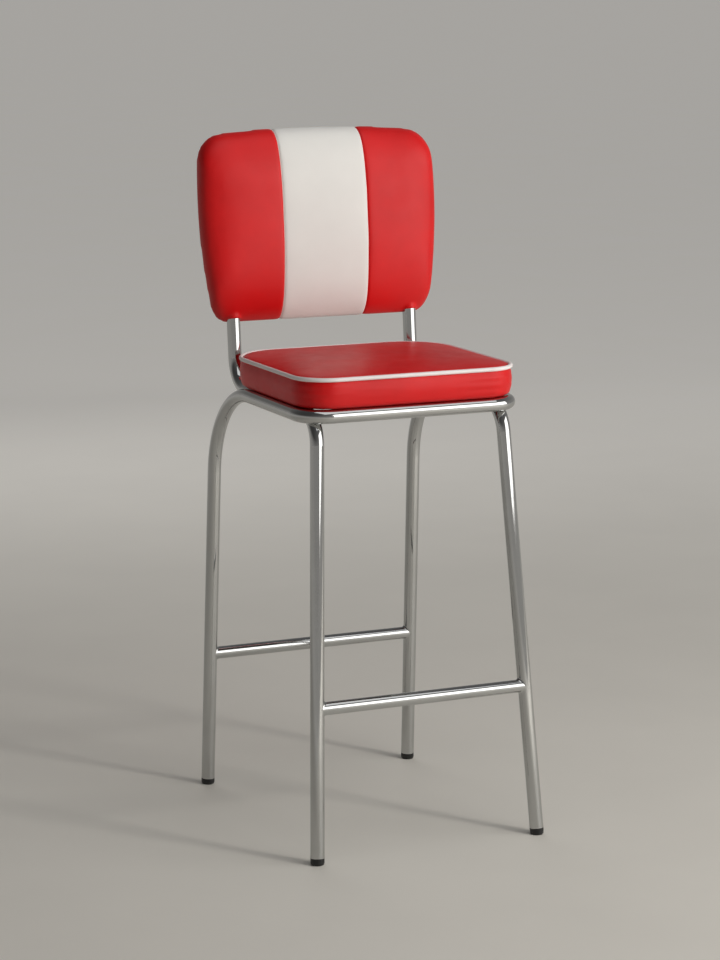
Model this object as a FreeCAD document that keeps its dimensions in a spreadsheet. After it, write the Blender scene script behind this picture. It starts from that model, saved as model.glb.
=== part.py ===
import FreeCAD, Part
import math
import os
import Sketcher
from FreeCAD import Placement, Rotation, Vector

# A retro counter stool: chrome tube frame, red cushion with white piping and a red and white back pad.
# Millimetres, +Z up, the front of the stool faces -Y, and the origin lies on the floor at its centre.

DIMENSIONS = {
    "tube_diameter": 22.5,
    "tube_wall": 1.5,
    "rung_diameter": 21,
    "foot_half_depth": 242.8,
    "front_foot_half_width": 194.3,
    "rear_foot_half_width": 189.6,
    "cap_height": 10.5,
    "ring_height": 700,
    "ring_half_width": 183,
    "ring_front": 180,
    "ring_corner_radius": 42,
    "rear_leg_top": 203.5,
    "rear_bend_radius": 158,
    "side_front": 167.5,
    "side_rear": 169.2,
    "side_bend_radius": 51,
    "recline_slope": 0.1,
    "post_end_height": 1000,
    "front_rung_height": 243.7,
    "rear_rung_height": 232.6,
    "weld_fillet": 3.8,
    "cross_tube_diameter": 19,
    "cross_tube_back": 105,
    "strap_width": 25,
    "strap_thickness": 3,
    "strap_front": 110,
    "strap_back": 60,
    "screw_diameter": 6,
    "screw_spacing": 210,
    "seat_half_width": 188,
    "seat_front": 190,
    "seat_back": 150,
    "seat_front_corner": 45,
    "seat_back_corner": 85,
    "seat_board_thickness": 12,
    "cover_thickness": 1.2,
    "piping_diameter": 6.5,
    "piping_height": 47,
    "seat_crown": 13,
    "back_bottom": 802,
    "back_height": 323,
    "back_half_width": 213.2,
    "back_side_radius": 1035,
    "back_top_radius": 1850,
    "back_widest": 209,
    "back_top_corner": 58,
    "back_bottom_corner": 38,
    "back_rear_depth": 13,
    "back_crown_depth": 37,
    "stripe_half_width": 76,
    "back_sleeve_start": 8.5,
    "back_sleeve_thickness": 1.6,
    "back_board_thickness": 9,
    "back_panel_thickness": 1.5,
    "bolt_low": 60,
    "bolt_high": 160,
}

doc = FreeCAD.newDocument("counter_stool")
sheet = doc.addObject("Spreadsheet::Sheet", "Sizes")
for row, (alias, value) in enumerate(DIMENSIONS.items(), start=1):
    sheet.set(f"A{row}", alias)
    sheet.set(f"B{row}", str(value))
    sheet.setAlias(f"B{row}", alias)
doc.recompute()

SUB_PARTS = []
SIDES = {"left": -1, "right": 1}
EPS = 0.05


def size(alias):
    return float(getattr(sheet, alias))


def keep(item, name):
    item.Label = name
    SUB_PARTS.append(item)
    return item


def shaped(name, shape):
    # a document object that carries a shape made with Part's functions
    item = doc.addObject("Part::Feature", name)
    item.Shape = shape
    return item


def bound(kind, name, placement=None, **expressions):
    item = doc.addObject(kind, name)
    for prop, text in expressions.items():
        item.setExpression(prop, text)
    if placement is not None:
        item.Placement = placement
    return item


def difference(name, base, tools):
    cutter = tools[0]
    if len(tools) > 1:
        cutter = doc.addObject("Part::MultiFuse", name + "_tools")
        cutter.Shapes = tools
    item = doc.addObject("Part::Cut", name)
    item.Base = base
    item.Tool = cutter
    return item


def origin_plane(body, role):
    return next(f for f in body.Origin.OriginFeatures if f.Role == role)


def new_sketch(body, name, role="XY_Plane"):
    sketch = body.newObject("Sketcher::SketchObject", name)
    sketch.AttachmentSupport = [(origin_plane(body, role), "")]
    sketch.MapMode = "FlatFace"
    return sketch


def constrain(sketch, kind, *target, formula):
    # a driving constraint whose value comes from the sheet
    index = sketch.addConstraint(Sketcher.Constraint(kind, *target, 1.0))
    sketch.setExpression(f"Constraints[{index}]", formula)


def pad(body, sketch, name, formula):
    feature = body.newObject("PartDesign::Pad", name)
    feature.Profile = sketch
    feature.setExpression("Length", formula)
    return feature


def aim(position, direction):
    # a placement whose local Z runs along the direction
    return Placement(position, Rotation(Vector(0, 0, 1), direction))


def outline_sketch(body, name, role, corners):
    # a closed outline of straight lines whose corners are formulas of the sheet
    sketch = new_sketch(body, name, role)
    spots = [Vector(*(float(sheet.evalExpression(f)) for f in pair), 0) for pair in corners]
    count = len(spots)
    for index in range(count):
        sketch.addGeometry(Part.LineSegment(spots[index], spots[(index + 1) % count]))
    for index in range(count):
        sketch.addConstraint(Sketcher.Constraint("Coincident", index, 2, (index + 1) % count, 1))
    for index, (across, up) in enumerate(corners):
        for kind, axis, formula in (("DistanceX", -2, across), ("DistanceY", -1, up)):
            if formula == "0":
                sketch.addConstraint(Sketcher.Constraint("PointOnObject", index, 1, axis))
            else:
                constrain(sketch, kind, index, 1, formula=formula)
    return sketch


def hole_circles(sketch, centres, formula):
    # round holes inside an outline, each centre given by two formulas
    for across, up in centres:
        spot = Vector(float(sheet.evalExpression(across)), float(sheet.evalExpression(up)), 0)
        index = sketch.addGeometry(Part.Circle(spot, Vector(0, 0, 1), 4))
        constrain(sketch, "Radius", index, formula=formula)
        constrain(sketch, "DistanceX", index, 3, formula=across)
        constrain(sketch, "DistanceY", index, 3, formula=up)


def revolved_body(name, corners):
    # a body of revolution about its own Z axis, from a half section of formulas
    body = doc.addObject("PartDesign::Body", name)
    sketch = outline_sketch(body, name + "_section", "XZ_Plane", corners)
    turn = body.newObject("PartDesign::Revolution", name + "_turn")
    turn.Profile = sketch
    turn.ReferenceAxis = (sketch, ["V_Axis"])
    turn.Angle = 360
    return body


def bent_route(points, radii):
    # straight runs joined by tangent arcs, one radius for each inner point
    edges = []
    start = points[0]
    for before, corner, after, radius in zip(points, points[1:], points[2:], radii):
        come = (before - corner).normalize()
        leave = (after - corner).normalize()
        half_angle = come.getAngle(leave) / 2
        inward = (come + leave).normalize()
        first = corner + come * (radius / math.tan(half_angle))
        last = corner + leave * (radius / math.tan(half_angle))
        crest = corner + inward * (radius / math.sin(half_angle) - radius)
        edges.append(Part.LineSegment(start, first).toShape())
        edges.append(Part.Arc(first, crest, last).toShape())
        start = last
    edges.append(Part.LineSegment(start, points[-1]).toShape())
    return Part.Wire(edges)


def swept_round(name, wire, position, direction, formula):
    # a round bar of the given radius along a route
    route = shaped(name + "_route", wire)
    section = bound("Part::Circle", name + "_section", aim(position, direction), Radius=formula)
    bar = doc.addObject("Part::Sweep", name)
    bar.Sections = [section]
    bar.Spine = (route, [f"Edge{i + 1}" for i in range(len(wire.Edges))])
    bar.Solid = True
    return bar


def tube_bars(name, points, radii):
    # the outside and the bore of a bent tube, as two bars
    wire = bent_route(points, radii)
    start, along = points[0], points[1] - points[0]
    outside = swept_round(name + "_outside", wire, start, along, "Sizes.tube_diameter / 2")
    bore = swept_round(name + "_bore", wire, start, along, "Sizes.tube_diameter / 2 - Sizes.tube_wall")
    return outside, bore


ring_z = size("ring_height")
ring_x = size("ring_half_width")
side_x = ring_x - size("tube_diameter") - EPS
seat_z = ring_z + size("tube_diameter") / 2

FRONT_FEET = {side: Vector(sign * size("front_foot_half_width"), -size("foot_half_depth"), 0)
              for side, sign in SIDES.items()}
REAR_FEET = {side: Vector(sign * size("rear_foot_half_width"), size("foot_half_depth"), 0)
             for side, sign in SIDES.items()}
FRONT_TOPS = {side: Vector(sign * side_x, -size("side_front"), ring_z) for side, sign in SIDES.items()}
REAR_TOPS = {side: Vector(sign * ring_x, size("rear_leg_top"), ring_z) for side, sign in SIDES.items()}


def along_leg(foot, top, height):
    return foot + (top - foot) * (height / ring_z)


def tube_end(foot, top):
    # where the tube stops above the floor, inside its foot cap
    return foot + (top - foot).normalize() * size("cap_height")


def rear_frame():
    # one long tube: both rear legs, the two side rails and the front rail of the seat ring
    front_y = -size("ring_front")
    points = [tube_end(REAR_FEET["left"], REAR_TOPS["left"]), REAR_TOPS["left"],
              Vector(-ring_x, front_y, ring_z), Vector(ring_x, front_y, ring_z),
              REAR_TOPS["right"], tube_end(REAR_FEET["right"], REAR_TOPS["right"])]
    bend, corner = size("rear_bend_radius"), size("ring_corner_radius")
    outside, bore = tube_bars("rear_frame", points, [bend, corner, corner, bend])
    keep(difference("rear_frame_tube_cut", outside, [bore]), "rear_frame_tube")
    return outside


def side_tubes(ring_outside):
    # each side tube is a front leg, a run beside the seat rail and a back post, notched at the ring corner
    outsides = {}
    for side, sign in SIDES.items():
        rise = size("post_end_height") - ring_z
        rear = Vector(sign * side_x, size("side_rear"), ring_z)
        points = [tube_end(FRONT_FEET[side], FRONT_TOPS[side]), FRONT_TOPS[side], rear,
                  rear + Vector(0, rise * size("recline_slope"), rise)]
        outside, bore = tube_bars(f"{side}_side", points, [size("side_bend_radius")] * 2)
        outsides[side] = outside
        keep(difference(f"{side}_side_tube_cut", outside, [bore, ring_outside]), f"{side}_side_tube")
    return outsides


def round_bar(name, start, end, radius):
    bar = bound("Part::Cylinder", name, aim(start, end - start), Radius=radius)
    bar.Height = (end - start).Length
    return bar


def footrest_rung(name, height, feet, tops):
    # a straight tube between two legs, shaped to them and joined by a smooth fillet of weld all round
    ends = [along_leg(feet[side], tops[side], height) for side in SIDES]
    legs = []
    for side, spot in zip(SIDES, ends):
        reach = (tops[side] - feet[side]).normalize() * 40
        legs.append(round_bar(f"{name}_{side}_leg", spot - reach, spot + reach, "Sizes.tube_diameter / 2"))
    outside = round_bar(name + "_outside", *ends, "Sizes.rung_diameter / 2")
    bore = round_bar(name + "_bore", *ends, "Sizes.rung_diameter / 2 - Sizes.tube_wall")
    joint = doc.addObject("Part::MultiFuse", name + "_joint")
    joint.Shapes = [outside] + legs
    doc.recompute()
    radius = size("weld_fillet")
    welded = doc.addObject("Part::Fillet", name + "_welded")
    welded.Base = joint
    welded.Edges = [(index, radius, radius) for index, edge in enumerate(joint.Shape.Edges, start=1)
                    if edge.Curve.TypeId == "Part::GeomBSplineCurve"]
    keep(difference(name + "_cut", welded, legs + [bore]), name)


def rungs():
    footrest_rung("front_rung", size("front_rung_height"), FRONT_FEET, FRONT_TOPS)
    footrest_rung("rear_rung", size("rear_rung_height"), REAR_FEET, REAR_TOPS)


def seat_cross_tube(side_outsides):
    # the hidden tube between the two side tubes, behind the middle of the seat
    half = size("cross_tube_back")
    ends = (Vector(-side_x, half, ring_z), Vector(side_x, half, ring_z))
    outside = round_bar("cross_tube_outside", *ends, "Sizes.cross_tube_diameter / 2")
    bore = round_bar("cross_tube_bore", *ends, "Sizes.cross_tube_diameter / 2 - Sizes.tube_wall")
    keep(difference("cross_tube_cut", outside, [bore] + list(side_outsides.values())), "seat_cross_tube")


def rail_welds(ring_outside, side_outsides):
    # short beads of weld under the seam where each side tube lies against its seat rail
    radius, length, drop = 2.8, 32, 7.2
    bars = [ring_outside.Shape] + [item.Shape for item in side_outsides.values()]
    beads = []
    for sign in SIDES.values():
        for y in (-95, -5, 85):
            spot = Vector(sign * (ring_x + side_x) / 2, y - length / 2, ring_z - drop)
            beads.append(Part.makeCylinder(radius, length, spot, Vector(0, 1, 0)).cut(bars))
    keep(shaped("rail_weld_beads", Part.makeCompound(beads)), "rail_welds")


def foot_caps():
    # a black plastic cap on each tube end: a rounded foot flat on the floor and a plug up the bore
    floor = bound("Part::Box", "floor_level", Placement(Vector(-400, -400, -20), Rotation()))
    floor.Length, floor.Width, floor.Height = 800, 800, 20
    plug = "Sizes.tube_diameter / 2 - Sizes.tube_wall"
    outer = "Sizes.tube_diameter / 2"
    section = [("0", "-1.2"), (outer + " - 2.6", "-1.2"), (outer + " - 0.7", "0.8"), (outer, "3.2"),
               (outer, "Sizes.cap_height"), (plug, "Sizes.cap_height"), (plug, "Sizes.cap_height + 22"),
               ("6", "Sizes.cap_height + 22"), ("6", "8"), ("0", "8")]
    rows = (("front", FRONT_FEET, FRONT_TOPS), ("rear", REAR_FEET, REAR_TOPS))
    caps = []
    for row, feet, tops in rows:
        for side in SIDES:
            body = revolved_body(f"cap_{row}_{side}_body", section)
            body.Placement = aim(feet[side], tops[side] - feet[side])
            caps.append(difference(f"cap_{row}_{side}", body, [floor]))
    doc.recompute()
    keep(shaped("foot_cap_group", Part.makeCompound([cap.Shape for cap in caps])), "foot_caps")


def seat_straps(side_outsides):
    # two flat steel straps between the side tubes, each with two screw holes for the seat
    reach = "Sizes.ring_half_width - Sizes.tube_diameter"
    half = "Sizes.strap_width / 2"
    corners = [(f"-({reach})", f"-{half}"), (reach, f"-{half}"), (reach, half), (f"-({reach})", half)]
    holes = [("-Sizes.screw_spacing / 2", "0.0"), ("Sizes.screw_spacing / 2", "0.0")]
    for name, y in (("seat_strap_front", -size("strap_front")), ("seat_strap_rear", size("strap_back"))):
        body = doc.addObject("PartDesign::Body", name + "_body")
        sketch = outline_sketch(body, name + "_outline", "XY_Plane", corners)
        hole_circles(sketch, holes, "Sizes.screw_diameter / 2 + 0.25")
        pad(body, sketch, name + "_plate", "Sizes.strap_thickness")
        body.Placement = Placement(Vector(0, y, seat_z - size("strap_thickness")), Rotation())
        keep(difference(name + "_cut", body, list(side_outsides.values())), name)


def screw_spots():
    return [Vector(sign * size("screw_spacing") / 2, y, seat_z)
            for y in (-size("strap_front"), size("strap_back")) for sign in (-1, 1)]


def copies(name, body, spots, turn=Rotation()):
    # a group of separate solids: one body set down at each spot
    doc.recompute()
    solids = []
    for spot in spots:
        solid = body.Shape.copy()
        solid.Placement = Placement(spot, turn)
        solids.append(solid)
    return shaped(name + "_group", Part.makeCompound(solids))


def pan_screw(name, length):
    # a pan head wood screw, its head below the origin and its shank above
    return revolved_body(name, [("0", "-3.6"), ("4.4", "-3.6"), ("5.6", "-2.2"), ("5.6", "0.0"),
                                ("Sizes.screw_diameter / 2", "0.0"),
                                ("Sizes.screw_diameter / 2", length), ("0", length)])


def seat_outline(inset, height):
    # the seat's plan: tight corners in front, wide ones behind, both easing as the outline shrinks
    half, front, back = (size(a) - inset for a in ("seat_half_width", "seat_front", "seat_back"))
    shrink = 1 - inset / 150
    near, far = size("seat_front_corner") * shrink, size("seat_back_corner") * shrink
    z = seat_z + height
    edges = []
    corners = [(-half, -front, near), (half, -front, near), (half, back, far), (-half, back, far)]
    directions = [Vector(1, 0, 0), Vector(0, 1, 0), Vector(-1, 0, 0), Vector(0, -1, 0)]
    ends = []
    for (x, y, radius), leave, come in zip(corners, directions, directions[-1:] + directions[:-1]):
        corner = Vector(x, y, z)
        first, last = corner - come * radius, corner + leave * radius
        crest = corner + (leave - come) * (radius * (1 - math.sqrt(0.5)))
        ends.append((first, crest, last))
    for index, (first, crest, last) in enumerate(ends):
        edges.append(Part.Arc(first, crest, last).toShape())
        edges.append(Part.LineSegment(last, ends[(index + 1) % 4][0]).toShape())
    return Part.Wire(edges)


def seat_prism(name, inset, low, high):
    return shaped(name, Part.Face(seat_outline(inset, low)).extrude(Vector(0, 0, high - low)))


def ring_loft(name, wires):
    # a solid through matching closed outlines, laid level or upright one beyond the other
    loft = doc.addObject("Part::Loft", name)
    loft.Sections = [shaped(f"{name}_ring_{i}", wire) for i, wire in enumerate(wires)]
    loft.Solid = True
    loft.Ruled = True
    return loft


def seat_loft(name, rings):
    return ring_loft(name, [seat_outline(inset, height) for inset, height in rings])


def cushion_forms(name, skin):
    # the upholstered seat without its piping: a side band rolled in at its foot and slightly full, then
    # a top that swells from the piping to its crown; skin insets both all round
    welt, middle, crown = size("piping_diameter") / 2, size("piping_height"), size("seat_crown")
    reach = middle - welt
    side = [(9, 0), (4, 1), (1.3, 4), (-0.4, 10), (-1.6, 0.42 * reach), (-1.7, 0.62 * reach),
            (-0.7, 0.85 * reach), (1.2, reach)]
    low = [(inset + skin, rise + (skin if rise == 0 else 0)) for inset, rise in side]
    top = [(1.2, welt), (4, 0.38 * crown), (10, 0.52 * crown), (22, 0.66 * crown), (42, 0.81 * crown),
           (70, 0.93 * crown), (105, crown)]
    high = [(inset + (skin if index == 0 else 0), middle + rise - (skin if index else 0))
            for index, (inset, rise) in enumerate(top)]
    return seat_loft(name + "_low", low), seat_loft(name + "_high", high)


def seat():
    skin = size("cover_thickness")
    board_top = skin + size("seat_board_thickness")
    outer_low, outer_high = cushion_forms("seat_outer", 0)
    inner_low, inner_high = cushion_forms("seat_inner", skin)

    screw = pan_screw("seat_screw_body", "Sizes.strap_thickness + Sizes.cover_thickness + 9")
    drop = Vector(0, 0, -size("strap_thickness"))
    keep(copies("seat_screw", screw, [spot + drop for spot in screw_spots()]), "seat_screws")
    shank = size("screw_diameter") / 2
    shanks = [Part.makeCylinder(shank, skin + 9, spot) for spot in screw_spots()]
    holes = shaped("screw_holes", shanks[0].fuse(shanks[1:]))

    board = seat_prism("seat_board_blank", 12, skin, board_top)
    keep(difference("seat_board_cut", board, [holes]), "seat_board")
    cloth = seat_prism("dust_cloth_blank", 30, 0, skin)
    keep(difference("dust_cloth_cut", cloth, [holes]), "seat_dust_cloth")

    welt, height = size("piping_diameter") / 2, size("piping_height")
    route = seat_outline(1.2, height)
    start = route.Edges[0].Vertexes[0].Point
    keep(swept_round("piping_bar", route, start, Vector(0, -1, 0), "Sizes.piping_diameter / 2"), "seat_piping")

    waist = seat_prism("foam_waist", 1.2 + welt, height - welt, height + welt)
    block = doc.addObject("Part::MultiFuse", "foam_block")
    block.Shapes = [inner_low, waist, inner_high]
    keep(difference("seat_foam_cut", block, [board]), "seat_foam")

    opening = seat_prism("cover_opening", 30, -1, skin)
    keep(difference("cover_band", outer_low, [inner_low, opening]), "seat_cover_band")
    keep(difference("cover_top", outer_high, [inner_high]), "seat_cover_top")


BACK_FOOT = Vector(0, size("side_rear") + (size("back_bottom") - ring_z) * size("recline_slope"),
                   size("back_bottom"))
BACK_PLACE = Placement(BACK_FOOT, Rotation(Vector(1, 0, 0), -math.degrees(math.atan(size("recline_slope")))))


def mirrored(point):
    return Vector(-point.x, point.y, point.z)


def back_outline(depth, side, top, foot):
    # the back pad seen from the front, drawn in by its own amount at the sides, the top and the foot:
    # full sides and top on large arcs, a straight lower edge and four round corners; depth is how far
    # the outline lies before the posts
    side_radius, top_radius = size("back_side_radius") - side, size("back_top_radius") - top
    side_centre = size("back_half_width") - size("back_side_radius")
    widest, height = size("back_widest"), size("back_height")
    right = Part.Circle(Vector(side_centre, 0, widest), Vector(0, -1, 0), side_radius)
    crest = Part.Circle(Vector(0, 0, height - size("back_top_radius")), Vector(0, -1, 0), top_radius)
    meeting = max(right.intersect(crest), key=lambda p: (p.X, p.Z))
    high = Vector(meeting.X, 0, meeting.Z)

    def on_side(z):
        return Vector(side_centre + math.sqrt(side_radius ** 2 - (widest - z) ** 2), 0, z)

    low, middle = on_side(foot), on_side((foot + high.z) / 2)
    edges = [Part.LineSegment(mirrored(low), low).toShape(), Part.Arc(low, middle, high).toShape(),
             Part.Arc(high, Vector(0, 0, height - top), mirrored(high)).toShape(),
             Part.Arc(mirrored(high), mirrored(middle), mirrored(low)).toShape()]
    blank = Part.Face(Part.Wire(edges)).extrude(Vector(0, 10, 0))
    for alias, corner, drawn_in in (("back_bottom_corner", low, side + foot), ("back_top_corner", high, side + top)):
        picked = [e for e in blank.Edges if e.BoundBox.YLength > 9 and abs(e.BoundBox.ZMin - corner.z) < 0.5]
        blank = blank.makeFillet(size(alias) * (1 - drawn_in / 400), picked)
    wire = min(blank.Faces, key=lambda f: f.CenterOfMass.y).OuterWire
    wire.translate(Vector(0, -depth, 0))
    return wire


def back_prism(name, inset, front, rear):
    # the outline made solid between two depths; +Y is the rear
    outline = back_outline(front, inset, inset, inset)
    return shaped(name, Part.Face(outline).extrude(Vector(0, front + rear, 0)))


def back_form(name, skin):
    # the pad's stuffed form: a flat rear, boxed sides, a longer roll over the top and the foot, and a
    # front that swells to its crown; each row is a depth, then how far sides, top and foot draw in
    rear, crown = size("back_rear_depth"), size("back_crown_depth")
    rows = [(-rear + skin, 0, 0, 0), (-9, 0, 0, 0.8), (-4, 0, 1.5, 3), (2, 0.3, 4, 7.5), (8, 1, 8, 14),
            (13.5, 2.4, 13, 21.5), (18.5, 5, 19, 31), (23, 10, 27, 43), (27, 18, 37, 58), (30.5, 31, 51, 78),
            (33.5, 53, 69, 101), (crown - 1.2, 84, 90, 122), (crown, 118, 106, 140)]
    rings = [back_outline(depth - (skin if depth > 8 else 0), side + skin, top + skin, foot + skin)
             for depth, side, top, foot in rows]
    return ring_loft(name, rings)


def back_bolt_spots(depth):
    x = side_x - size("tube_diameter") / 2 - 14
    return [Vector(sign * x, depth, z) for sign in (-1, 1) for z in (size("bolt_low"), size("bolt_high"))]


def placed(item, name):
    # a piece of the back pad, modelled upright and set down on the reclined posts
    item.Placement = BACK_PLACE
    return keep(item, name)


def back_tabs(tab_y, posts):
    # four flat lugs on the inner sides of the posts, each with a bolt hole
    thickness, height, overhang = 3, 24, 14
    tabs, rooms = [], []
    for spot in back_bolt_spots(tab_y):
        inner, outer = sorted((math.copysign(abs(spot.x) - overhang, spot.x), math.copysign(side_x, spot.x)))
        lug = Part.makeBox(outer - inner, thickness, height, Vector(inner, tab_y, spot.z - height / 2))
        hole_radius = size("screw_diameter") / 2 + 0.25
        hole = Part.makeCylinder(hole_radius, 10, spot - Vector(0, 2, 0), Vector(0, 1, 0))
        tabs.append(lug.cut([hole] + posts))
        rooms.append(lug)
    placed(shaped("back_tab_group", Part.makeCompound(tabs)), "back_tabs")
    return rooms


def backrest():
    skin = size("cover_thickness")
    rear = size("back_rear_depth")
    panel_y = rear - size("back_panel_thickness")
    board_y = panel_y - size("back_board_thickness")
    tab_y = board_y - 3
    rise = (size("post_end_height") - size("back_bottom")) / math.cos(math.atan(size("recline_slope")))
    post_radius = size("tube_diameter") / 2
    ahead, up = Vector(0, 1, 0), Vector(0, 0, 1)
    plain, inner = back_form("back_outer_form", 0), back_form("back_inner_form", skin)

    def post_bars(radius, start, length):
        return [Part.makeCylinder(radius, length, Vector(sign * side_x, 0, start), up) for sign in (-1, 1)]

    posts = post_bars(post_radius, -60, rise + 60)
    post_room = shaped("post_room", posts[0].fuse(posts[1]))
    # the cover is drawn tight over each post where it enters, as a short raised sleeve
    sleeves = post_bars(post_radius + size("back_sleeve_thickness"), size("back_sleeve_start"), 60)
    outer = doc.addObject("Part::MultiFuse", "back_outer_sleeved")
    outer.Shapes = [plain, shaped("left_sleeve", sleeves[0]), shaped("right_sleeve", sleeves[1])]

    rooms = back_tabs(tab_y, posts)
    facing_rear = Rotation(Vector(0, 0, 1), ahead)
    reach = "3 + Sizes.back_board_thickness - 1.5"
    bolts = copies("back_bolt", pan_screw("back_bolt_body", reach), back_bolt_spots(tab_y), facing_rear)
    placed(bolts, "back_bolts")
    shanks = [Part.makeCylinder(size("screw_diameter") / 2, size("back_board_thickness") - 1.5, spot, ahead)
              for spot in back_bolt_spots(board_y)]
    bolt_holes = shaped("back_bolt_holes", shanks[0].fuse(shanks[1:]))
    heads = [Part.makeCylinder(5.6, 3.6, spot - Vector(0, 3.6, 0), ahead) for spot in back_bolt_spots(tab_y)]
    fitting_room = shaped("fitting_room", heads[0].fuse(heads[1:] + rooms))

    edge_inset, shoulder, top = 14, post_radius + 1, rise + 6
    blank = back_prism("back_board_blank", edge_inset, -board_y, panel_y)
    notches = [Part.makeBox(120, 40, top + 40, Vector(x, 0, -40))
               for x in (side_x - shoulder, shoulder - side_x - 120)]
    notch_room = shaped("board_notches", notches[0].fuse(notches[1]))
    board = difference("back_board_notched", blank, [notch_room])
    placed(difference("back_board_cut", board, [bolt_holes]), "back_board")

    slab = shaped("panel_slab", Part.makeBox(600, 20, 500, Vector(-300, panel_y, -60)))
    panel = doc.addObject("Part::MultiCommon", "back_panel_common")
    panel.Shapes = [plain, slab]
    placed(panel, "back_rear_panel")

    placed(difference("back_foam_cut", inner, [slab, board, fitting_room, post_room]), "back_foam")

    shell = difference("back_shell", outer, [inner, slab, post_room])
    stripe = size("stripe_half_width")
    cuts = {"back_cover_left": (-400, -stripe), "back_cover_centre": (-stripe, stripe),
            "back_cover_right": (stripe, 400)}
    for name, (start, end) in cuts.items():
        zone = shaped(name + "_zone", Part.makeBox(end - start, 200, 500, Vector(start, -100, -60)))
        cover = doc.addObject("Part::MultiCommon", name + "_common")
        cover.Shapes = [shell, zone]
        placed(cover, name)


def check_and_write():
    doc.recompute()
    for item in doc.Objects:
        if "Invalid" in item.State or "Error" in item.State:
            raise RuntimeError(f"{item.Name} failed: {item.State}")
    os.makedirs("parts", exist_ok=True)
    for item in SUB_PARTS:
        shape = item.Shape
        if shape.isNull() or not shape.isValid() or not shape.Solids:
            raise RuntimeError(f"{item.Label} has no valid solid")
        shape.exportStep(f"parts/{item.Label}.step")
        box = shape.BoundBox
        print(f"{item.Label}: {len(shape.Solids)} solid(s), {shape.Volume / 1000:.1f} cm3, "
              f"z {box.ZMin:.1f} to {box.ZMax:.1f}")


ring_outside = rear_frame()
side_outsides = side_tubes(ring_outside)
rungs()
seat_cross_tube(side_outsides)
rail_welds(ring_outside, side_outsides)
foot_caps()
seat_straps(side_outsides)
seat()
backrest()
check_and_write()
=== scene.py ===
import bpy
import bmesh
import math
from mathutils import Matrix, Vector


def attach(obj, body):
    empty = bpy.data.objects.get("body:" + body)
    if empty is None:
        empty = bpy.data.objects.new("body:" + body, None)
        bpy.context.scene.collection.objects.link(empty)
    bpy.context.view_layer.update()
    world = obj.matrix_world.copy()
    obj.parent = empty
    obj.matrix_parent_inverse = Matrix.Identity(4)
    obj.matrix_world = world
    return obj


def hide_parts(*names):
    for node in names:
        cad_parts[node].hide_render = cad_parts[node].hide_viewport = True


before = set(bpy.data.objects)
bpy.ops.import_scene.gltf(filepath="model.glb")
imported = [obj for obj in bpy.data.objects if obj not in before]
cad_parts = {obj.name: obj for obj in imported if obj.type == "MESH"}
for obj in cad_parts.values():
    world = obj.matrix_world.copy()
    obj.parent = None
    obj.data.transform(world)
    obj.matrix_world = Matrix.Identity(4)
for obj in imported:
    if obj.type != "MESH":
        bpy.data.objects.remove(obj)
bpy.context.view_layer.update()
print("stage: frame loaded")


def makeObject(name, bm, smooth=True):
    bmesh.ops.recalc_face_normals(bm, faces=bm.faces)
    mesh = bpy.data.meshes.new(name)
    bm.to_mesh(mesh)
    bm.free()
    mesh.polygons.foreach_set("use_smooth", [smooth] * len(mesh.polygons))
    obj = bpy.data.objects.new(name, mesh)
    bpy.context.scene.collection.objects.link(obj)
    return obj


def evaluatedMesh(obj):
    # the mesh with its modifiers worked in
    graph = bpy.context.evaluated_depsgraph_get()
    return bpy.data.meshes.new_from_object(obj.evaluated_get(graph))


def bakeModifiers(obj):
    mesh = evaluatedMesh(obj)
    obj.modifiers.clear()
    obj.data = mesh


def smoothStep(low, high, value):
    t = min(max((value - low) / (high - low), 0), 1)
    return t * t * (3 - 2 * t)


def addNode(tree, kind, links=None, **values):
    node = tree.nodes.new(kind)
    for key, value in values.items():
        if hasattr(node, key):
            setattr(node, key, value)
    for socket, source in (links or {}).items():
        if hasattr(source, "links"):
            tree.links.new(source, node.inputs[socket])
        else:
            node.inputs[socket].default_value = source
    return node


def noise(tree, vector, scale, detail, roughness=0.5, distortion=0.0):
    return addNode(tree, "ShaderNodeTexNoise", {"Vector": vector, "Scale": scale, "Detail": detail,
                                                "Roughness": roughness, "Distortion": distortion})


def remap(tree, source, low, high, fromLow=0.0, fromHigh=1.0):
    node = addNode(tree, "ShaderNodeMapRange", {"Value": source, "From Min": fromLow, "From Max": fromHigh,
                                                "To Min": low, "To Max": high})
    return node.outputs[0]


def combine(tree, operation, first, second):
    return addNode(tree, "ShaderNodeMath", {0: first, 1: second}, operation=operation).outputs[0]


def combineVectors(tree, operation, first, second):
    return addNode(tree, "ShaderNodeVectorMath", {0: first, 1: second}, operation=operation).outputs[0]


def makeGroup(name, inputs, outputs):
    group = bpy.data.node_groups.new(name, "ShaderNodeTree")
    for label, kind, value in inputs:
        socket = group.interface.new_socket(label, in_out="INPUT", socket_type=kind)
        if value is not None:
            socket.default_value = value
    for label in outputs:
        group.interface.new_socket(label, in_out="OUTPUT", socket_type="NodeSocketFloat")
    return group, group.nodes.new("NodeGroupInput"), group.nodes.new("NodeGroupOutput")


grainPattern = {
    "cell": 850.0, "warpScale": 300.0, "warp": 0.0016, "rimWidth": 0.22, "fineScale": 2400.0,
    "fineShare": 0.25, "toneScale": 9.0, "glossScale": 34.0,
}


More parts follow.
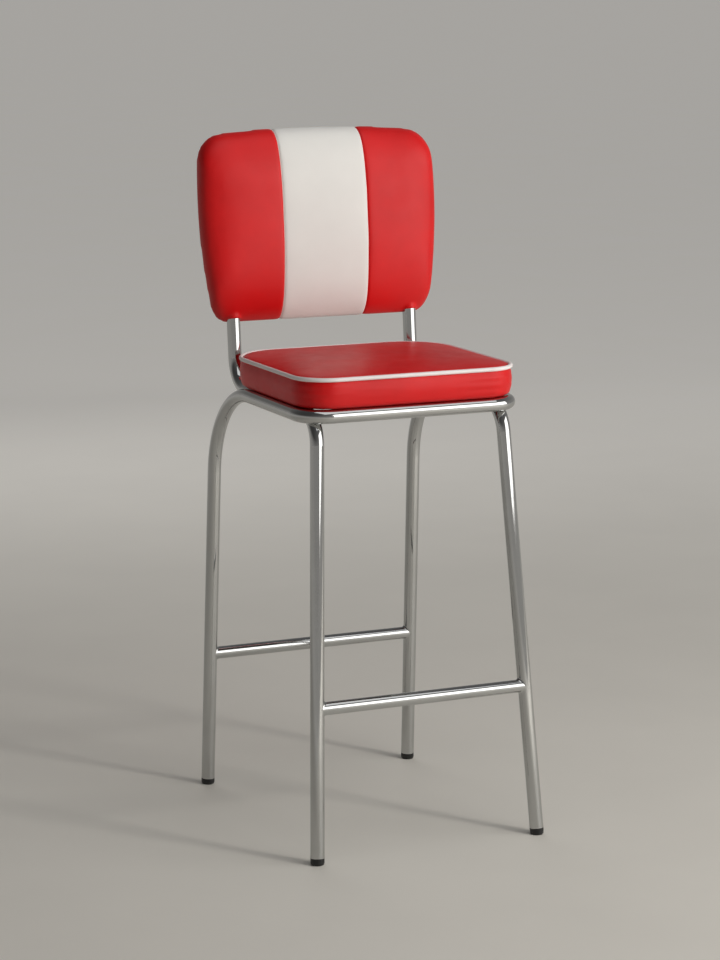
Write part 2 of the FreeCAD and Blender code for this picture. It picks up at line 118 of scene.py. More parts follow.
def vinylGrainGroup():
    # pressed grain of coated upholstery cloth: small rounded cells, broken by a finer noise
    look = grainPattern
    sockets = [("Vector", "NodeSocketVector", None), ("Cell", "NodeSocketFloat", look["cell"])]
    group, start, end = makeGroup("vinylGrain", sockets, ["Height", "Tone", "Gloss"])
    vector = start.outputs["Vector"]
    warpNoise = noise(group, vector, look["warpScale"], 2.0)
    warp = combineVectors(group, "MULTIPLY", warpNoise.outputs["Color"], (look["warp"],) * 3)
    moved = combineVectors(group, "ADD", vector, warp)
    cells = addNode(group, "ShaderNodeTexVoronoi", {"Vector": moved, "Scale": start.outputs["Cell"]},
                    feature="DISTANCE_TO_EDGE")
    rounded = addNode(group, "ShaderNodeMapRange",
                      {"Value": cells.outputs["Distance"], "From Max": look["rimWidth"]},
                      interpolation_type="SMOOTHSTEP")
    fine = noise(group, vector, look["fineScale"], 3.0)
    height = addNode(group, "ShaderNodeMix",
                     {0: look["fineShare"], 2: rounded.outputs[0], 3: fine.outputs[0]})
    group.links.new(height.outputs[0], end.inputs["Height"])
    group.links.new(noise(group, vector, look["toneScale"], 4.0, 0.55).outputs[0], end.inputs["Tone"])
    group.links.new(noise(group, vector, look["glossScale"], 5.0, 0.65).outputs[0], end.inputs["Gloss"])
    return group


handlingPattern = {"smudgeScale": 14.0, "smudge": (0.42, 0.72), "lines": 260.0, "lineStretch": 0.05,
                   "upward": (0.35, 1.0), "speckScale": 420.0, "speck": (0.5, 0.75)}


def handlingGroup():
    # what handling leaves on a hard surface: broad smudges, hair-fine rub lines and a little dust that
    # settles on faces that look up
    look = handlingPattern
    sockets = [("Vector", "NodeSocketVector", None), ("Lines", "NodeSocketFloat", look["lines"])]
    group, start, end = makeGroup("handling", sockets, ["Smudge", "Rub", "Dust"])
    vector = start.outputs["Vector"]
    smudge = noise(group, vector, look["smudgeScale"], 5.0, 0.6).outputs[0]
    group.links.new(remap(group, smudge, 0, 1, *look["smudge"]), end.inputs["Smudge"])
    stretched = combineVectors(group, "MULTIPLY", vector, (1.0, 1.0, look["lineStretch"]))
    rub = noise(group, stretched, start.outputs["Lines"], 4.0, 0.7)
    group.links.new(rub.outputs[0], end.inputs["Rub"])
    normal = addNode(group, "ShaderNodeNewGeometry")
    up = addNode(group, "ShaderNodeSeparateXYZ", {0: normal.outputs["Normal"]})
    facing = remap(group, up.outputs["Z"], 0, 1, *look["upward"])
    speck = remap(group, noise(group, vector, look["speckScale"], 3.0, 0.7).outputs[0], 0, 1, *look["speck"])
    group.links.new(combine(group, "MULTIPLY", facing, speck), end.inputs["Dust"])
    return group


vinylGrain = vinylGrainGroup()
handling = handlingGroup()


def newMaterial(name):
    material = bpy.data.materials.new(name)
    material.use_nodes = True
    tree = material.node_tree
    tree.nodes.clear()
    output = tree.nodes.new("ShaderNodeOutputMaterial")
    shader = tree.nodes.new("ShaderNodeBsdfPrincipled")
    tree.links.new(shader.outputs[0], output.inputs["Surface"])
    place = tree.nodes.new("ShaderNodeTexCoord")
    return material, tree, shader, place.outputs["Object"]


def useGroup(tree, group, vector, **values):
    node = tree.nodes.new("ShaderNodeGroup")
    node.node_tree = group
    tree.links.new(vector, node.inputs["Vector"])
    for label, value in values.items():
        node.inputs[label].default_value = value
    return node


def mixColor(tree, factor, first, second, blend="MIX"):
    node = tree.nodes.new("ShaderNodeMix")
    node.data_type = "RGBA"
    node.blend_type = blend
    for socket, source in ((node.inputs[0], factor), (node.inputs[6], first), (node.inputs[7], second)):
        if hasattr(source, "links"):
            tree.links.new(source, socket)
        else:
            socket.default_value = source
    return node.outputs[2]


def bumpFrom(tree, height, strength, distance):
    node = addNode(tree, "ShaderNodeBump", {"Height": height, "Strength": strength, "Distance": distance})
    return node.outputs[0]


def feed(tree, shader, **sources):
    # Base_Color=... feeds the socket named Base Color
    for label, source in sources.items():
        tree.links.new(source, shader.inputs[label.replace("_", " ")])


def vinylMaterial(name, look):
    material, tree, shader, vector = newMaterial(name)
    grain = useGroup(tree, vinylGrain, vector, Cell=look["cell"])
    wear = useGroup(tree, handling, vector)
    broad = remap(tree, grain.outputs["Tone"], 0, 1, 0.3, 0.7)
    tone = mixColor(tree, broad, look["deep"], look["bright"])
    # painted shade: the grooves between the grain's cells are darkened toward the deep colour
    low = remap(tree, grain.outputs["Height"], look["grooveShade"], 0)
    grooveShade = mixColor(tree, low, tone, look["deep"])
    dusty = mixColor(tree, remap(tree, wear.outputs["Dust"], 0, look["dust"]), grooveShade, look["dustColor"])
    gloss = remap(tree, grain.outputs["Gloss"], *look["rough"], 0.3, 0.7)
    relief = bumpFrom(tree, grain.outputs["Height"], look["relief"], look["grainDepth"])
    feed(tree, shader, Base_Color=dusty, Roughness=gloss, Normal=relief)
    shader.inputs["Coat Weight"].default_value = look["coat"]
    shader.inputs["Coat Roughness"].default_value = look["coatRough"]
    shader.inputs["Specular IOR Level"].default_value = look["specular"]
    return material


vinylLook = {"cell": 850.0, "relief": 0.16, "grainDepth": 0.00025, "dust": 0.02, "coatRough": 0.3,
             "dustColor": (0.62, 0.6, 0.56, 1), "rough": (0.38, 0.48), "specular": 0.36}
# each look below also sets how strongly painted shade darkens the grooves of its grain
redLook = {**vinylLook, "bright": (0.74, 0.0055, 0.007, 1), "deep": (0.60, 0.003, 0.004, 1), "grooveShade": 0.3,
           "coat": 0.05}
whiteLook = {**vinylLook, "bright": (0.82, 0.81, 0.78, 1), "deep": (0.77, 0.76, 0.73, 1), "grooveShade": 0.25,
             "coat": 0.1}
# the piping is white vinyl; the pink in its bright and deep colours is painted reflection of the red cushion
# beside it
pipingLookWithRedReflection = {**vinylLook, "bright": (0.93, 0.87, 0.86, 1), "deep": (0.86, 0.79, 0.78, 1), "grooveShade": 0.2,
              "cell": 1100.0, "relief": 0.1, "dust": 0.03, "rough": (0.36, 0.46), "coat": 0.12}
redVinyl = vinylMaterial("redVinyl", redLook)
whiteVinyl = vinylMaterial("whiteVinyl", whiteLook)
pipingVinyl = vinylMaterial("pipingVinyl", pipingLookWithRedReflection)


def chromeMaterial():
    look = {"bright": (0.53, 0.535, 0.53, 1), "dull": (0.44, 0.44, 0.43, 1), "dust": (0.36, 0.34, 0.31, 1),
            "rough": (0.03, 0.075), "rubbed": 0.05, "rippleScale": 38.0, "rippleDepth": 0.0004}
    material, tree, shader, vector = newMaterial("chromePlate")
    wear = useGroup(tree, handling, vector)
    tone = mixColor(tree, remap(tree, wear.outputs["Smudge"], 0, 0.35), look["bright"], look["dull"])
    dusty = mixColor(tree, remap(tree, wear.outputs["Dust"], 0, 0.12), tone, look["dust"])
    base = remap(tree, wear.outputs["Smudge"], *look["rough"])
    lines = remap(tree, wear.outputs["Rub"], 0, look["rubbed"], 0.4, 0.8)
    ripple = noise(tree, vector, look["rippleScale"], 2.0).outputs[0]
    both = combine(tree, "ADD", ripple, remap(tree, wear.outputs["Rub"], 0, 0.08))
    feed(tree, shader, Base_Color=dusty, Roughness=combine(tree, "ADD", base, lines),
         Normal=bumpFrom(tree, both, 0.05, look["rippleDepth"]))
    shader.inputs["Metallic"].default_value = 1.0
    return material


def zincMaterial():
    look = {"bright": (0.66, 0.66, 0.65, 1), "grey": (0.5, 0.51, 0.52, 1), "stain": (0.4, 0.39, 0.37, 1),
            "lines": 500.0, "spangle": 260.0, "rough": (0.3, 0.5)}
    material, tree, shader, vector = newMaterial("zincSteel")
    wear = useGroup(tree, handling, vector, Lines=look["lines"])
    spangle = addNode(tree, "ShaderNodeTexVoronoi", {"Vector": vector, "Scale": look["spangle"]})
    flakes = remap(tree, spangle.outputs["Distance"], 0, 1, 0, 0.7)
    tone = mixColor(tree, flakes, look["grey"], look["bright"])
    stained = mixColor(tree, remap(tree, wear.outputs["Smudge"], 0, 0.5), tone, look["stain"])
    rough = remap(tree, wear.outputs["Rub"], *look["rough"], 0.3, 0.8)
    feed(tree, shader, Base_Color=stained, Roughness=rough,
         Normal=bumpFrom(tree, wear.outputs["Rub"], 0.15, 0.0002))
    shader.inputs["Metallic"].default_value = 1.0
    return material


def capMaterial():
    # black moulded plastic, greyed where it has been scuffed near the floor
    look = {"black": (0.006, 0.006, 0.006, 1), "scuffed": (0.05, 0.047, 0.044, 1),
            "dust": (0.14, 0.13, 0.12, 1), "lines": 700.0, "scuffHeight": 0.006,
            "rough": (0.32, 0.48), "pebble": 1800.0}
    material, tree, shader, vector = newMaterial("blackPlastic")
    wear = useGroup(tree, handling, vector, Lines=look["lines"])
    parts = addNode(tree, "ShaderNodeSeparateXYZ", {0: vector})
    low = remap(tree, parts.outputs["Z"], 1, 0, 0.0, look["scuffHeight"])
    scuff = combine(tree, "MULTIPLY", low, remap(tree, wear.outputs["Rub"], 0, 1, 0.4, 0.7))
    tone = mixColor(tree, remap(tree, scuff, 0, 0.5), look["black"], look["scuffed"])
    dusty = mixColor(tree, remap(tree, wear.outputs["Dust"], 0, 0.25), tone, look["dust"])
    pebble = noise(tree, vector, look["pebble"], 2.0).outputs[0]
    feed(tree, shader, Base_Color=dusty, Roughness=remap(tree, wear.outputs["Smudge"], *look["rough"]),
         Normal=bumpFrom(tree, pebble, 0.2, 0.0001))
    return material


def plywoodMaterial():
    look = {"dark": (0.42, 0.27, 0.14, 1), "light": (0.66, 0.48, 0.29, 1), "glue": (0.25, 0.15, 0.08, 1),
            "stretch": (6.0, 90.0, 90.0), "plies": 160.0}
    material, tree, shader, vector = newMaterial("plywood")
    stretched = combineVectors(tree, "MULTIPLY", vector, look["stretch"])
    grain = noise(tree, stretched, 3.0, 6.0, distortion=0.6).outputs[0]
    plies = addNode(tree, "ShaderNodeTexWave", {"Vector": vector, "Scale": look["plies"]},
                    bands_direction="Z")
    tone = mixColor(tree, grain, look["dark"], look["light"])
    glued = mixColor(tree, remap(tree, plies.outputs["Fac"], 0, 0.25), tone, look["glue"])
    feed(tree, shader, Base_Color=glued, Roughness=remap(tree, grain, 0.6, 0.8),
         Normal=bumpFrom(tree, grain, 0.3, 0.0004))
    return material


def dustClothMaterial():
    # thin black lining under the seat, a tight plain weave
    look = {"gap": (0.008, 0.008, 0.008, 1), "thread": (0.026, 0.026, 0.027, 1),
            "lint": (0.05, 0.048, 0.045, 1), "threads": 520.0, "rough": (0.85, 0.98)}
    material, tree, shader, vector = newMaterial("dustCloth")
    yarn = {"Vector": vector, "Scale": look["threads"], "Distortion": 0.4}
    warp, weft = [addNode(tree, "ShaderNodeTexWave", yarn, bands_direction=way).outputs["Fac"]
                  for way in "XY"]
    weave = combine(tree, "MAXIMUM", warp, weft)
    fuzz = noise(tree, vector, 60.0, 5.0).outputs[0]
    tone = mixColor(tree, weave, look["gap"], look["thread"])
    linty = mixColor(tree, remap(tree, fuzz, 0, 0.35, 0.45, 0.8), tone, look["lint"])
    feed(tree, shader, Base_Color=linty, Roughness=remap(tree, fuzz, *look["rough"]),
         Normal=bumpFrom(tree, weave, 0.6, 0.0004))
    return material


chrome = chromeMaterial()
zinc = zincMaterial()
blackPlastic = capMaterial()
plywood = plywoodMaterial()
dustCloth = dustClothMaterial()

cadFinish = {
    "rear_frame_tube": chrome, "left_side_tube": chrome, "right_side_tube": chrome, "front_rung": chrome,
    "rear_rung": chrome, "seat_cross_tube": chrome, "rail_welds": chrome, "foot_caps": blackPlastic,
    "seat_strap_front": zinc, "seat_strap_rear": zinc, "seat_screws": zinc, "back_tabs": zinc,
    "back_bolts": zinc, "seat_board": plywood, "back_board": plywood, "seat_dust_cloth": dustCloth,
}
for node, material in cadFinish.items():
    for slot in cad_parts[node].material_slots:
        slot.material = material
print("stage: materials made and given to the carried-over pieces")


def stuffedCloth(obj):
    # cloth filled under pressure, weightless, held where the vertex group pin says
    cloth = obj.modifiers.new("cloth", "CLOTH")
    settings = cloth.settings
    settings.quality = 5
    settings.mass = 0.3
    settings.tension_stiffness = settings.compression_stiffness = 25
    settings.bending_stiffness = 3
    settings.use_pressure = True
    settings.effector_weights.gravity = 0
    settings.vertex_group_mass = "pin"
    return settings


def swell(obj, plan, pinned):
    # runs the cloth, then keeps each point within the cap of where it began
    start = [vertex.co.copy() for vertex in obj.data.vertices]
    pin = obj.vertex_groups.new(name="pin")
    for vertex in obj.data.vertices:
        weight = pinned(vertex.co)
        if weight > 0:
            pin.add([vertex.index], weight, "REPLACE")
    stuffedCloth(obj).uniform_pressure_force = plan["pressure"]
    scene = bpy.context.scene
    for step in range(1, plan["frames"] + 1):
        scene.frame_set(step)
    swollen = evaluatedMesh(obj)
    for vertex, before, after in zip(obj.data.vertices, start, swollen.vertices):
        move = after.co - before
        if move.length > plan["cap"]:
            move = move.normalized() * plan["cap"]
        vertex.co = before + move
    obj.modifiers.clear()
    obj.vertex_groups.clear()
    bpy.data.meshes.remove(swollen)
    scene.frame_set(1)


def plump(obj, plan, pinned):
    # remeshes a closed form evenly and swells it like stuffed cloth
    remesh = obj.modifiers.new("remesh", "REMESH")
    remesh.mode = "VOXEL"
    remesh.voxel_size = plan["voxel"]
    bakeModifiers(obj)
    swell(obj, plan, pinned)
    bm = bmesh.new()
    bm.from_mesh(obj.data)
    for _ in range(plan["smooth"]):
        bmesh.ops.smooth_vert(bm, verts=bm.verts, factor=0.5, use_axis_x=True, use_axis_y=True,
                              use_axis_z=True)
    return bm


def refine(obj):
    finer = obj.modifiers.new("finer", "SUBSURF")
    finer.levels = finer.render_levels = 1


cushion = {
    "halfWidth": 0.188, "front": 0.190, "back": 0.150, "frontCorner": 0.056, "backCorner": 0.085,
    "cornerSteps": 10, "edgeCuts": 12, "base": 0.71125, "crown": 0.0095, "bandFullness": 0.0012,
    "pipingHeight": 0.047, "pipingRadius": 0.00345, "pipingInset": 0.0008, "farDip": 0.0035,
    "foldCorner": (0.17, -0.175), "foldReach": (0.16, 0.03), "foldDepth": 0.0007, "foldSpan": 0.19,
    "foldPitch": 520.0, "foldSkew": 5, "foldBeat": 21,
    "opening": 0.030, "hollow": 0.0015, "voxel": 0.0045, "pressure": 3.0, "cap": 0.004,
    "frames": 20, "smooth": 2,
}


def bevelCorners(bm, verts, radius, plan):
    bmesh.ops.bevel(bm, geom=verts, offset=radius, segments=plan["cornerSteps"], profile=0.5,
                    affect="VERTICES", material=-1)


def planLoop(bm, plan, inset, height):
    # a level ring with the seat's corners: tight in front, wide behind
    half, front, back = plan["halfWidth"] - inset, plan["front"] - inset, plan["back"] - inset
    shrink = 1 - inset / 0.15  # corners tighten as the ring draws in
    made = bmesh.ops.create_grid(bm, x_segments=1, y_segments=1, size=1)["verts"]
    for vertex in made:
        vertex.co = Vector((math.copysign(half, vertex.co.x), back if vertex.co.y > 0 else -front, height))
    frontPair = [v for v in made if v.co.y < 0]
    backPair = [v for v in made if v.co.y > 0]
    for verts, corner in ((frontPair, "frontCorner"), (backPair, "backCorner")):
        bevelCorners(bm, verts, plan[corner] * shrink, plan)
    straight = [e for e in bm.edges if e.calc_length() > 0.04]
    bmesh.ops.subdivide_edges(bm, edges=straight, cuts=plan["edgeCuts"])


def ringForm(rings):
    # bridges closed rings one after another and closes both ends
    bm = bmesh.new()
    loops = []
    for drawRing in rings:
        part = bmesh.new()
        drawRing(part)
        bmesh.ops.delete(part, geom=part.faces[:], context="FACES_ONLY")
        piece = bpy.data.meshes.new("ring")
        part.to_mesh(piece)
        part.free()
        before = set(bm.edges)
        bm.from_mesh(piece)
        bpy.data.meshes.remove(piece)
        loops.append([e for e in bm.edges if e not in before])
    for lower, upper in zip(loops, loops[1:]):
        bmesh.ops.bridge_loops(bm, edges=lower + upper)
    bmesh.ops.contextual_create(bm, geom=loops[0])
    bmesh.ops.contextual_create(bm, geom=loops[-1])
    bmesh.ops.triangulate(bm, faces=[f for f in bm.faces if len(f.verts) > 4])
    return bm


def cushionRows(plan):
    # how far each ring draws in and how high it lies: underside, band, seam groove, crown
    seam, crown, full = plan["pipingHeight"], plan["crown"], plan["bandFullness"]
    return [(0.010, 0), (0.004, 0.001), (0.0012, 0.004), (0.0002, 0.010), (-full, 0.42 * seam),
            (-full, 0.6 * seam), (-0.4 * full, 0.82 * seam), (0.0025, seam - 0.003), (0.0042, seam),
            (0.0032, seam + 0.0032), (0.006, seam + 0.32 * crown), (0.012, seam + 0.52 * crown),
            (0.024, seam + 0.68 * crown), (0.044, seam + 0.83 * crown), (0.072, seam + 0.94 * crown),
            (0.105, seam + crown)]


def dressCushion(bm, plan):
    # what hands and use leave: a dip at the far left, folds at the front corners, a flat underside
    base, seamZ = plan["base"], plan["base"] + plan["pipingHeight"]
    cornerX, cornerY = plan["foldCorner"]
    for vertex in bm.verts:
        spot = vertex.co
        above = smoothStep(seamZ + 0.003, seamZ + plan["crown"], spot.z)
        spot.z -= above * plan["farDip"] * smoothStep(0.06, -0.13, spot.x) * smoothStep(-0.08, 0.1, spot.y)
        inset = edgeInset(plan, spot)
        if inset < 0.003 and base + 0.008 < spot.z < seamZ - 0.006:
            corners = [Vector((sign * cornerX, cornerY, spot.z)) for sign in (-1, 1)]
            near = max(smoothStep(*plan["foldReach"], (corner - spot).length) for corner in corners)
            run = spot.x + spot.y
            wave = math.sin((spot.z - base) * plan["foldPitch"] + plan["foldSkew"] * run)
            wave *= math.sin(plan["foldBeat"] * run)
            spot.xy *= 1 + plan["foldDepth"] * near * wave / plan["foldSpan"]
        if spot.z < base + 0.004 and inset > 0.006:  # flat on the rails, hollow where the lining lies
            spot.z = base + plan["hollow"] * smoothStep(plan["opening"] - 0.004, plan["opening"], inset)


def seatCushion():
    plan = cushion
    base, seamZ = plan["base"], plan["base"] + plan["pipingHeight"]
    bm = ringForm([lambda part, inset=inset, rise=rise: planLoop(part, plan, inset, base + rise)
                   for inset, rise in cushionRows(plan)])
    obj = makeObject("seatCushion", bm)

    def pinned(point):
        if point.z < base + 0.003:
            return 1.0
        onEdge = edgeInset(plan, point) < 0.02
        return 1.0 - smoothStep(0.002, 0.005, abs(point.z - seamZ)) if onEdge else 0.0

    bm = plump(obj, plan, pinned)
    dressCushion(bm, plan)
    bm.to_mesh(obj.data)
    bm.free()
    obj.data.polygons.foreach_set("use_smooth", [True] * len(obj.data.polygons))
    obj.data.materials.append(redVinyl)
    refine(obj)
    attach(obj, "root")
    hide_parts("seat_foam", "seat_cover_band", "seat_cover_top")


def edgeInset(plan, point):
    # how far inside the seat's outline a point lies
    half, front, back = plan["halfWidth"], plan["front"], plan["back"]
    radius = plan["frontCorner"] if point.y < 0 else plan["backCorner"]
    dx = half - abs(point.x)
    dy = (point.y + front) if point.y < 0 else (back - point.y)
    if dx < radius and dy < radius:
        return radius - math.hypot(radius - dx, radius - dy)
    return min(dx, dy)


def seatPiping():
    # a filled cord in a vinyl sleeve, laid round the top seam
    plan = cushion
    part = bmesh.new()
    planLoop(part, plan, plan["pipingInset"], plan["base"] + plan["pipingHeight"])
    face = max(part.faces, key=lambda f: f.calc_area())
    points = [loop.vert.co.copy() for loop in face.loops]
    part.free()
    curve = bpy.data.curves.new("pipingLine", "CURVE")
    curve.dimensions = "3D"
    curve.bevel_depth = plan["pipingRadius"]
    curve.bevel_resolution = 5
    spline = curve.splines.new("POLY")
    spline.points.add(len(points) - 1)
    for spot, point in zip(spline.points, points):
        spot.co = (*point, 1)
    spline.use_cyclic_u = True
    line = bpy.data.objects.new("pipingLine", curve)
    bpy.context.scene.collection.objects.link(line)
    mesh = evaluatedMesh(line)
    bpy.data.objects.remove(line)
    bm = bmesh.new()
    bm.from_mesh(mesh)
    bmesh.ops.remove_doubles(bm, verts=bm.verts, dist=0.00002)
    obj = makeObject("seatPiping", bm)
    obj.data.materials.append(pipingVinyl)
    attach(obj, "root")
    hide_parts("seat_piping")


backPad = {
    "foot": Vector((0, 0.17940, 0.802)), "lean": math.atan(0.1), "halfWidth": 0.2132, "sideRadius": 1.035,
    "widest": 0.209, "height": 0.323, "topRadius": 1.85, "topCorner": 0.037, "bottomCorner": 0.027,
    "cornerSteps": 10, "edgeCuts": 16, "rear": 0.012, "panel": 0.0012, "panelInset": 0.0055,
    "postSpread": 0.16045, "postRadius": 0.01125, "sleeve": 0.0016, "sleeveStart": 0.0085,
    "sleeveFade": (0.04, 0.09),
    "stripe": 0.076, "seamCuts": (0, 0.0012, 0.0024, 0.0042, 0.007),
    "seam": ((0.0017, 0.0016), (0.0008, 0.006)),  # groove and pull beside it: depth, width
    "voxel": 0.0042, "pressure": 2.5, "cap": 0.004, "frames": 20, "smooth": 6,
    # depth before the posts, then how far the sides, the top and the foot draw in, in millimetres
    "rows": [(-12, 12, 12, 12), (-12.6, 4, 4, 4), (-12.2, 1, 1, 1), (-10.8, 0, 0, 0), (-9, 0, 0, 0.5),
             (-4, 0, 1.5, 3), (2, 0.3, 4, 7.5), (8, 1, 8, 14), (13.5, 2.4, 13, 21.5), (18, 5, 19, 31),
             (22, 10, 27, 43), (25.5, 18, 37, 58), (29, 31, 51, 78), (31.7, 53, 69, 101), (34, 84, 90, 122),
             (35.2, 118, 106, 140)],
}


def padLoop(part, plan, depth, side, top, foot):
    # an upright ring with full sides and a bowed top; -Y is the front
    halfNow, sideRadius = plan["halfWidth"] - side, plan["sideRadius"]
    made = bmesh.ops.create_grid(part, x_segments=1, y_segments=1, size=1)["verts"]
    for vertex in made:
        height = plan["height"] - top if vertex.co.y > 0 else foot
        vertex.co = Vector((math.copysign(halfNow, vertex.co.x), -depth, height))
    upper = [v for v in made if v.co.z > 0.15]
    lower = [v for v in made if v.co.z <= 0.15]
    corners = ((upper, plan["topCorner"], side + top), (lower, plan["bottomCorner"], side + foot))
    for verts, radius, drawn in corners:
        bevelCorners(part, verts, radius * (1 - drawn / 0.4), plan)
    straight = [e for e in part.edges if e.calc_length() > 0.02]
    bmesh.ops.subdivide_edges(part, edges=straight, cuts=plan["edgeCuts"])
    for vertex in part.verts:
        x, z = vertex.co.x, vertex.co.z
        edge = plan["halfWidth"] - sideRadius + math.sqrt(sideRadius ** 2 - (z - plan["widest"]) ** 2)
        vertex.co.x = x * (edge - side) / halfNow
        vertex.co.z = z - x * x / (2 * plan["topRadius"]) * smoothStep(0.1, 0.3, z)


def settlePad(bm, plan):
    # sets a piece of the pad down on the reclined posts
    turn = Matrix.Translation(plan["foot"]) @ Matrix.Rotation(-plan["lean"], 4, "X")
    bmesh.ops.transform(bm, matrix=turn, verts=bm.verts)


def cutSeams(bm, plan):
    # rows of points along both seams of the white stripe, so that the groove comes out clean
    cuts = [-cut for cut in reversed(plan["seamCuts"][1:])] + list(plan["seamCuts"])
    for sign in (-1, 1):
        for cut in cuts:
            bmesh.ops.bisect_plane(bm, geom=bm.verts[:] + bm.edges[:] + bm.faces[:], dist=0.00001,
                                   plane_co=(sign * (plan["stripe"] + cut), 0, 0), plane_no=(1, 0, 0))
    bmesh.ops.remove_doubles(bm, verts=bm.verts, dist=0.00015)
    bm.normal_update()


def sinkSeams(bm, plan):
    moves = {}
    for vertex in bm.verts:
        if vertex.co.y > plan["rear"] - 0.003:
            continue
        gap = abs(abs(vertex.co.x) - plan["stripe"])
        sink = sum(depth * math.exp(-(gap / width) ** 2) for depth, width in plan["seam"])
        moves[vertex] = vertex.co - vertex.normal * sink
    for vertex, spot in moves.items():
        vertex.co = spot


def sleevePosts(bm, plan):
    # draws the foot of the pad out over each post
    radius, begin = plan["postRadius"] + plan["sleeve"], plan["sleeveStart"]
    for vertex in bm.verts:
        point = vertex.co
        across = abs(abs(point.x) - plan["postSpread"])
        if across >= radius or point.y >= 0.006 or point.z >= plan["sleeveFade"][1]:
            continue
        skirt = math.sqrt(radius ** 2 - across ** 2)
        lift = smoothStep(begin - 0.0025, begin + 0.0015, point.z)
        lift *= 1 - smoothStep(*plan["sleeveFade"], point.z)
        if skirt > -point.y:
            point.y -= (skirt + point.y) * lift


def backCushion():
    plan = backPad
    rows = [[value / 1000 for value in row] for row in plan["rows"]]
    bm = ringForm([lambda part, row=row: padLoop(part, plan, *row) for row in rows])
    obj = makeObject("backCushion", bm)

    def pinned(point):
        if point.y > plan["rear"] - 0.004:
            return 1.0
        return 0.9 * (1.0 - smoothStep(0.002, 0.006, abs(abs(point.x) - plan["stripe"])))

    bm = plump(obj, plan, pinned)
    cutSeams(bm, plan)
    sinkSeams(bm, plan)
    sleevePosts(bm, plan)
    for face in bm.faces:
        face.material_index = 1 if abs(face.calc_center_median().x) < plan["stripe"] else 0
        face.smooth = True
    settlePad(bm, plan)
    bm.to_mesh(obj.data)
    bm.free()
    obj.data.materials.append(redVinyl)
    obj.data.materials.append(whiteVinyl)
    refine(obj)
    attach(obj, "root")
    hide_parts("back_foam", "back_cover_left", "back_cover_centre", "back_cover_right")


def backPanel():
    # the vinyl-faced panel that closes the pad behind
    plan = backPad
    rear, thick = plan["rear"], plan["panel"]
    edge = plan["panelInset"]
    rows = [(-rear, edge), (-(rear + thick * 0.6), edge - 0.0004), (-(rear + thick), edge + 0.0006),
            (-(rear + thick + 0.0003), edge + 0.003), (-(rear + thick + 0.0005), edge + 0.02)]
    bm = ringForm([lambda part, depth=depth, inset=inset: padLoop(part, plan, depth, inset, inset, inset)
                   for depth, inset in rows])
    settlePad(bm, plan)
    obj = makeObject("backPanel", bm)
    obj.data.materials.append(redVinyl)
    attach(obj, "root")
    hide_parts("back_rear_panel")


seatCushion()
print("stage: seat cushion plumped")
seatPiping()
backCushion()
backPanel()
print("stage: back pad plumped")

studio = {
    "floor": (0.80, 0.77, 0.705, 1), "floorDark": (0.744, 0.7161, 0.65565, 1), "floorRadius": 400.0,
    "backdrop": 0.26, "backdropTint": (1.0, 0.975, 0.93, 1), "fade": (1.0, 5.0),
    "key": 95.0, "lamp": 40.0, "top": 14.0, "back": 20.0, "world": 1.0,
    "horizon": (0.34, 0.33, 0.315, 1), "zenith": (0.12, 0.12, 0.125, 1),
    "camera": Vector((-1.9151, -4.2272, 1.4331)), "pitch": 79.32, "yaw": -24.24, "lens": 108.177,
}


def studioFloor():
    bm = bmesh.new()
    bmesh.ops.create_circle(bm, cap_ends=True, segments=96, radius=studio["floorRadius"])
    obj = makeObject("studioFloor", bm, smooth=False)
    material, tree, shader, vector = newMaterial("studioFloor")
    speckle = noise(tree, vector, 3.0, 6.0).outputs[0]
    tone = mixColor(tree, remap(tree, speckle, 0, 0.5, 0.3, 0.7), studio["floor"], studio["floorDark"])
    # far from the stool the floor fades into the pale backdrop, which metal and glass see as well
    reach = addNode(tree, "ShaderNodeVectorMath", {0: vector}, operation="LENGTH")
    near, distant = studio["fade"]
    far = addNode(tree, "ShaderNodeMapRange",
                  {"Value": reach.outputs["Value"], "From Min": near, "From Max": distant},
                  interpolation_type="SMOOTHSTEP")
    rays = tree.nodes.new("ShaderNodeLightPath").outputs
    mirrored = combine(tree, "MAXIMUM", rays["Is Glossy Ray"], rays["Is Transmission Ray"])
    seen = combine(tree, "MAXIMUM", rays["Is Camera Ray"], mirrored)
    glow = combine(tree, "MULTIPLY", far.outputs[0], seen)
    feed(tree, shader, Base_Color=tone, Emission_Strength=combine(tree, "MULTIPLY", glow, studio["backdrop"]))
    shader.inputs["Emission Color"].default_value = studio["backdropTint"]
    shader.inputs["Roughness"].default_value = 0.6
    obj.data.materials.append(material)


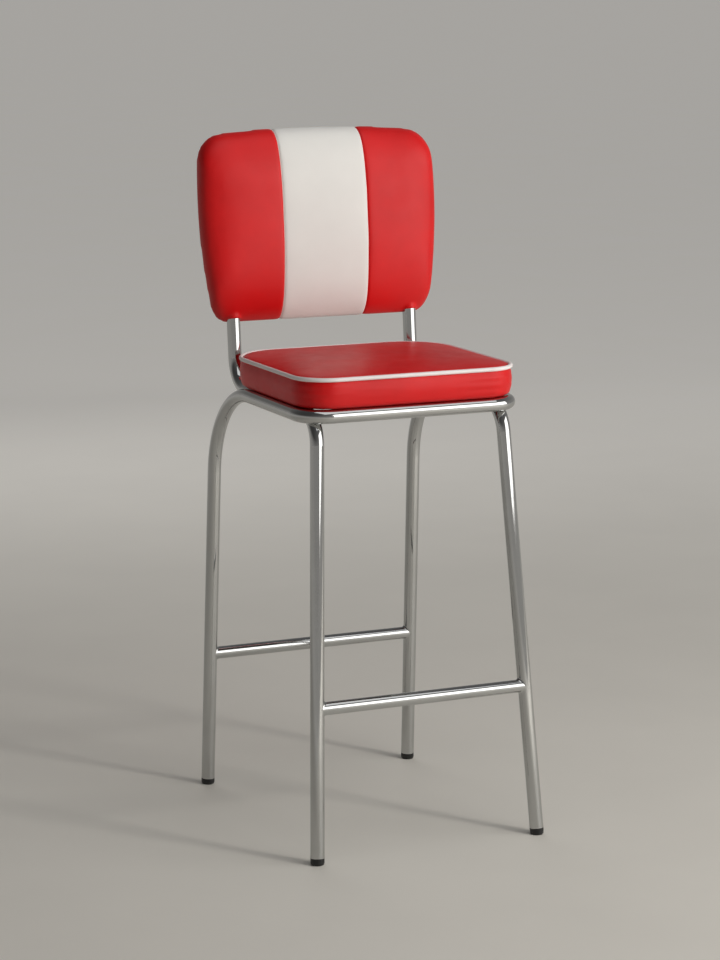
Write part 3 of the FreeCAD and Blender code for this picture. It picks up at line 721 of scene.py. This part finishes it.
def areaLight(name, place, target, power, width, height, tint=(1, 1, 1), mirrored=True):
    data = bpy.data.lights.new(name, "AREA")
    data.shape = "RECTANGLE"
    data.size, data.size_y = width, height
    data.energy = power
    data.color = tint
    obj = bpy.data.objects.new(name, data)
    obj.location = place
    obj.rotation_euler = (Vector(target) - Vector(place)).to_track_quat("-Z", "Y").to_euler()
    obj.visible_glossy = mirrored
    bpy.context.scene.collection.objects.link(obj)


def studioWorld():
    world = bpy.data.worlds.new("studioWorld")
    bpy.context.scene.world = world
    world.use_nodes = True
    tree = world.node_tree
    back = tree.nodes["Background"]
    coords = tree.nodes.new("ShaderNodeTexCoord")
    split = addNode(tree, "ShaderNodeSeparateXYZ", {0: coords.outputs["Generated"]})
    lift = remap(tree, split.outputs["Z"], 0, 1, 0.0, 0.9)
    tone = mixColor(tree, lift, studio["horizon"], studio["zenith"])
    side = remap(tree, split.outputs["X"], 0.25, 1, -0.9, 0.5)
    dim = mixColor(tree, 1.0, tone, side, "MULTIPLY")  # above the horizon the room is darker on its left
    above = remap(tree, split.outputs["Z"], 0, 1, 0.06, 0.3)
    tree.links.new(mixColor(tree, above, tone, dim), back.inputs["Color"])
    back.inputs["Strength"].default_value = studio["world"]


def studioCamera():
    data = bpy.data.cameras.new("photoView")
    data.sensor_fit = "VERTICAL"
    data.sensor_height = 36
    data.lens = studio["lens"]
    obj = bpy.data.objects.new("photoView", data)
    obj.location = studio["camera"]
    obj.rotation_euler = (math.radians(studio["pitch"]), 0, math.radians(studio["yaw"]))
    bpy.context.scene.collection.objects.link(obj)
    bpy.context.scene.camera = obj


studioFloor()
areaLight("keyRight", (2.7, -3.2, 1.95), (0, 0, 1.95), studio["key"], 4.4, 2.9, (1.0, 0.985, 0.96))
areaLight("lampRight", (2.05, -3.05, 1.95), (0, 0, 0.6), studio["lamp"], 0.5, 0.5, (1.0, 0.97, 0.92),
          mirrored=False)
areaLight("topSoft", (0.3, -0.9, 3.1), (0, 0, 0.7), studio["top"], 2.2, 2.2)
areaLight("backSoft", (0.5, 3.4, 2.2), (0, 0, 0.7), studio["back"], 2.4, 2.0, mirrored=False)
studioWorld()
studioCamera()
bpy.context.scene.view_settings.view_transform = "Standard"
print("stage: studio lit")
